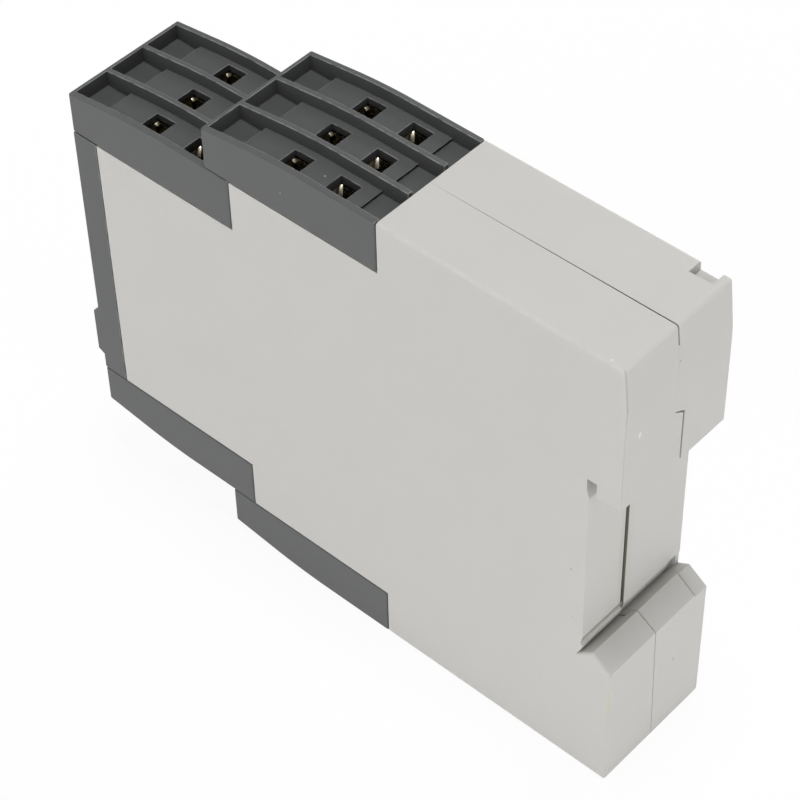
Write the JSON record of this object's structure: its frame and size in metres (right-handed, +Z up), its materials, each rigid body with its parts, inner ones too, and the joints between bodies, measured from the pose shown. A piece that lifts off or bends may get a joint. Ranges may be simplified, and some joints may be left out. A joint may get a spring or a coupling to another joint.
{
  "type": "monitoring relay",
  "caption": "Slim rail-mounted monitoring relay: light grey two-part housing with stepped dark grey screw terminal blocks above and below, and a rail hook and foot behind.",
  "frame": {"origin": "middle of the footprint on the underside", "axes": "+X across the width to the right side seen from the front, +Y from the front plate to the rail side, +Z up"},
  "size_m": [0.0226, 0.105, 0.0856],
  "materials": {
    "light_grey_plastic": "satin moulded polycarbonate",
    "dark_grey_plastic": "fine matt moulded",
    "zinc_steel": "bright zinc plated",
    "yellow_passivated_steel": "yellow passivated zinc",
    "tinned_brass": "bright rolled",
    "spring_steel": "polished",
    "clear_plastic": "polished clear",
    "led_plastic": "clear moulded",
    "knob_plastic": "matt",
    "component_plastic": "matt",
    "white_plastic": "matt",
    "circuit_board": "solder-masked glass laminate",
    "relay_cover_plastic": "glossy moulded",
    "relay_magnet": "wound coil on a plated frame",
    "transformer_steel": "varnished",
    "capacitor_can": "sleeved can"
  },
  "bodies": {
    "housing": {"right_shell": "light_grey_plastic", "left_shell": "light_grey_plastic", "rail_spring": "spring_steel", "front_bezel": "dark_grey_plastic", "light_guides": "clear_plastic", "status_leds": "led_plastic", "potentiometers": "component_plastic", "code_switch_body": "component_plastic", "front_board": "circuit_board", "main_board": "circuit_board", "output_relay_1_base": "component_plastic", "output_relay_1_cover": "relay_cover_plastic", "output_relay_1_magnet": "relay_magnet", "output_relay_2_base": "component_plastic", "output_relay_2_cover": "relay_cover_plastic", "output_relay_2_magnet": "relay_magnet", "supply_transformer": "transformer_steel", "supply_capacitors": "capacitor_can", "upper_front_block": "dark_grey_plastic", "upper_front_bus_bars": "tinned_brass", "upper_rear_block": "dark_grey_plastic", "upper_rear_bus_bars": "tinned_brass", "lower_front_block": "dark_grey_plastic", "lower_front_bus_bars": "tinned_brass", "lower_rear_block": "dark_grey_plastic", "lower_rear_bus_bars": "tinned_brass"},
    "adjuster_knob_1": {"adjuster_knob_1": "knob_plastic"},
    "adjuster_knob_2": {"adjuster_knob_2": "knob_plastic"},
    "adjuster_knob_3": {"adjuster_knob_3": "knob_plastic"},
    "code_switch_slider_1": {"code_switch_slider_1": "white_plastic"},
    "code_switch_slider_2": {"code_switch_slider_2": "white_plastic"},
    "code_switch_slider_3": {"code_switch_slider_3": "white_plastic"},
    "code_switch_slider_4": {"code_switch_slider_4": "white_plastic"},
    "output_relay_1_armature": {"output_relay_1_armature": "zinc_steel"},
    "output_relay_2_armature": {"output_relay_2_armature": "zinc_steel"},
    "upper_front_screw_1": {"upper_front_screw_1": "zinc_steel"},
    "upper_front_cage_1": {"upper_front_cage_1": "yellow_passivated_steel"},
    "upper_front_screw_2": {"upper_front_screw_2": "zinc_steel"},
    "upper_front_cage_2": {"upper_front_cage_2": "yellow_passivated_steel"},
    "upper_front_screw_3": {"upper_front_screw_3": "zinc_steel"},
    "upper_front_cage_3": {"upper_front_cage_3": "yellow_passivated_steel"},
    "upper_rear_screw_1": {"upper_rear_screw_1": "zinc_steel"},
    "upper_rear_cage_1": {"upper_rear_cage_1": "yellow_passivated_steel"},
    "upper_rear_screw_2": {"upper_rear_screw_2": "zinc_steel"},
    "upper_rear_cage_2": {"upper_rear_cage_2": "yellow_passivated_steel"},
    "upper_rear_screw_3": {"upper_rear_screw_3": "zinc_steel"},
    "upper_rear_cage_3": {"upper_rear_cage_3": "yellow_passivated_steel"},
    "lower_front_screw_1": {"lower_front_screw_1": "zinc_steel"},
    "lower_front_cage_1": {"lower_front_cage_1": "yellow_passivated_steel"},
    "lower_front_screw_2": {"lower_front_screw_2": "zinc_steel"},
    "lower_front_cage_2": {"lower_front_cage_2": "yellow_passivated_steel"},
    "lower_front_screw_3": {"lower_front_screw_3": "zinc_steel"},
    "lower_front_cage_3": {"lower_front_cage_3": "yellow_passivated_steel"},
    "lower_rear_screw_1": {"lower_rear_screw_1": "zinc_steel"},
    "lower_rear_cage_1": {"lower_rear_cage_1": "yellow_passivated_steel"},
    "lower_rear_screw_2": {"lower_rear_screw_2": "zinc_steel"},
    "lower_rear_cage_2": {"lower_rear_cage_2": "yellow_passivated_steel"},
    "lower_rear_screw_3": {"lower_rear_screw_3": "zinc_steel"},
    "lower_rear_cage_3": {"lower_rear_cage_3": "yellow_passivated_steel"}
  },
  "joints": [
    {"name": "upper_front_cage_1_slide", "type": "slide", "parent": "housing", "child": "upper_front_cage_1", "axis": [0, -1, 0], "range_m": [0, 0.003]},
    {"name": "upper_front_screw_1_turn", "type": "hinge", "parent": "housing", "child": "upper_front_screw_1", "pos_m": [-0.00735, -0.04688, 0.06989], "axis": [0, 1, 0], "range_deg": [0, 2161]},
    {"name": "upper_front_cage_2_slide", "type": "slide", "parent": "housing", "child": "upper_front_cage_2", "axis": [0, -1, 0], "range_m": [0, 0.003]},
    {"name": "upper_front_screw_2_turn", "type": "hinge", "parent": "housing", "child": "upper_front_screw_2", "pos_m": [0, -0.04688, 0.06989], "axis": [0, 1, 0], "range_deg": [0, 2161]},
    {"name": "upper_front_cage_3_slide", "type": "slide", "parent": "housing", "child": "upper_front_cage_3", "axis": [0, -1, 0], "range_m": [0, 0.003]},
    {"name": "upper_front_screw_3_turn", "type": "hinge", "parent": "housing", "child": "upper_front_screw_3", "pos_m": [0.00735, -0.04688, 0.06989], "axis": [0, 1, 0], "range_deg": [0, 2161]},
    {"name": "upper_rear_cage_1_slide", "type": "slide", "parent": "housing", "child": "upper_rear_cage_1", "axis": [0, -1, 0], "range_m": [0, 0.003]},
    {"name": "upper_rear_screw_1_turn", "type": "hinge", "parent": "housing", "child": "upper_rear_screw_1", "pos_m": [-0.00735, -0.01878, 0.07887], "axis": [0, 1, 0], "range_deg": [0, 2161]},
    {"name": "upper_rear_cage_2_slide", "type": "slide", "parent": "housing", "child": "upper_rear_cage_2", "axis": [0, -1, 0], "range_m": [0, 0.003]},
    {"name": "upper_rear_screw_2_turn", "type": "hinge", "parent": "housing", "child": "upper_rear_screw_2", "pos_m": [0, -0.01878, 0.07887], "axis": [0, 1, 0], "range_deg": [0, 2161]},
    {"name": "upper_rear_cage_3_slide", "type": "slide", "parent": "housing", "child": "upper_rear_cage_3", "axis": [0, -1, 0], "range_m": [0, 0.003]},
    {"name": "upper_rear_screw_3_turn", "type": "hinge", "parent": "housing", "child": "upper_rear_screw_3", "pos_m": [0.00735, -0.01878, 0.07887], "axis": [0, 1, 0], "range_deg": [0, 2161]},
    {"name": "lower_front_cage_1_slide", "type": "slide", "parent": "housing", "child": "lower_front_cage_1", "axis": [0, -1, 0], "range_m": [0, 0.003]},
    {"name": "lower_front_screw_1_turn", "type": "hinge", "parent": "housing", "child": "lower_front_screw_1", "pos_m": [-0.00735, -0.04688, 0.01571], "axis": [0, 1, 0], "range_deg": [0, 2161]},
    {"name": "lower_front_cage_2_slide", "type": "slide", "parent": "housing", "child": "lower_front_cage_2", "axis": [0, -1, 0], "range_m": [0, 0.003]},
    {"name": "lower_front_screw_2_turn", "type": "hinge", "parent": "housing", "child": "lower_front_screw_2", "pos_m": [0, -0.04688, 0.01571], "axis": [0, 1, 0], "range_deg": [0, 2161]},
    {"name": "lower_front_cage_3_slide", "type": "slide", "parent": "housing", "child": "lower_front_cage_3", "axis": [0, -1, 0], "range_m": [0, 0.003]},
    {"name": "lower_front_screw_3_turn", "type": "hinge", "parent": "housing", "child": "lower_front_screw_3", "pos_m": [0.00735, -0.04688, 0.01571], "axis": [0, 1, 0], "range_deg": [0, 2161]},
    {"name": "lower_rear_cage_1_slide", "type": "slide", "parent": "housing", "child": "lower_rear_cage_1", "axis": [0, -1, 0], "range_m": [0, 0.003]},
    {"name": "lower_rear_screw_1_turn", "type": "hinge", "parent": "housing", "child": "lower_rear_screw_1", "pos_m": [-0.00735, -0.01878, 0.00673], "axis": [0, 1, 0], "range_deg": [0, 2161]},
    {"name": "lower_rear_cage_2_slide", "type": "slide", "parent": "housing", "child": "lower_rear_cage_2", "axis": [0, -1, 0], "range_m": [0, 0.003]},
    {"name": "lower_rear_screw_2_turn", "type": "hinge", "parent": "housing", "child": "lower_rear_screw_2", "pos_m": [0, -0.01878, 0.00673], "axis": [0, 1, 0], "range_deg": [0, 2161]},
    {"name": "lower_rear_cage_3_slide", "type": "slide", "parent": "housing", "child": "lower_rear_cage_3", "axis": [0, -1, 0], "range_m": [0, 0.003]},
    {"name": "lower_rear_screw_3_turn", "type": "hinge", "parent": "housing", "child": "lower_rear_screw_3", "pos_m": [0.00735, -0.01878, 0.00673], "axis": [0, 1, 0], "range_deg": [0, 2161]},
    {"name": "adjuster_knob_1_turn", "type": "hinge", "parent": "housing", "child": "adjuster_knob_1", "pos_m": [0, -0.05125, 0.05644], "axis": [0, 1, 0], "range_deg": [-135, 135]},
    {"name": "adjuster_knob_2_turn", "type": "hinge", "parent": "housing", "child": "adjuster_knob_2", "pos_m": [0, -0.05125, 0.04675], "axis": [0, 1, 0], "range_deg": [-135, 135]},
    {"name": "adjuster_knob_3_turn", "type": "hinge", "parent": "housing", "child": "adjuster_knob_3", "pos_m": [0, -0.05125, 0.03705], "axis": [0, 1, 0], "range_deg": [-135, 135]},
    {"name": "code_switch_slider_1_slide", "type": "slide", "parent": "housing", "child": "code_switch_slider_1", "axis": [0, 0, 1], "range_m": [0, 0.002]},
    {"name": "code_switch_slider_2_slide", "type": "slide", "parent": "housing", "child": "code_switch_slider_2", "axis": [0, 0, 1], "range_m": [0, 0.002]},
    {"name": "code_switch_slider_3_slide", "type": "slide", "parent": "housing", "child": "code_switch_slider_3", "axis": [0, 0, 1], "range_m": [0, 0.002]},
    {"name": "code_switch_slider_4_slide", "type": "slide", "parent": "housing", "child": "code_switch_slider_4", "axis": [0, 0, 1], "range_m": [0, 0.002]},
    {"name": "output_relay_1_armature_swing", "type": "hinge", "parent": "housing", "child": "output_relay_1_armature", "pos_m": [-0.00625, 0.01475, 0.0548], "axis": [0, 0, 1], "range_deg": [0, 6], "stiffness_Nm_per_rad": 0.0002},
    {"name": "output_relay_2_armature_swing", "type": "hinge", "parent": "housing", "child": "output_relay_2_armature", "pos_m": [-0.00625, 0.01475, 0.0308], "axis": [0, 0, 1], "range_deg": [0, 6], "stiffness_Nm_per_rad": 0.0002}
  ],
  "couplings": [
    {"joint": "upper_front_screw_1_turn", "follows": "upper_front_cage_1_slide", "rad_per_m": 12566},
    {"joint": "upper_front_screw_2_turn", "follows": "upper_front_cage_2_slide", "rad_per_m": 12566},
    {"joint": "upper_front_screw_3_turn", "follows": "upper_front_cage_3_slide", "rad_per_m": 12566},
    {"joint": "upper_rear_screw_1_turn", "follows": "upper_rear_cage_1_slide", "rad_per_m": 12566},
    {"joint": "upper_rear_screw_2_turn", "follows": "upper_rear_cage_2_slide", "rad_per_m": 12566},
    {"joint": "upper_rear_screw_3_turn", "follows": "upper_rear_cage_3_slide", "rad_per_m": 12566},
    {"joint": "lower_front_screw_1_turn", "follows": "lower_front_cage_1_slide", "rad_per_m": 12566},
    {"joint": "lower_front_screw_2_turn", "follows": "lower_front_cage_2_slide", "rad_per_m": 12566},
    {"joint": "lower_front_screw_3_turn", "follows": "lower_front_cage_3_slide", "rad_per_m": 12566},
    {"joint": "lower_rear_screw_1_turn", "follows": "lower_rear_cage_1_slide", "rad_per_m": 12566},
    {"joint": "lower_rear_screw_2_turn", "follows": "lower_rear_cage_2_slide", "rad_per_m": 12566},
    {"joint": "lower_rear_screw_3_turn", "follows": "lower_rear_cage_3_slide", "rad_per_m": 12566}
  ]
}
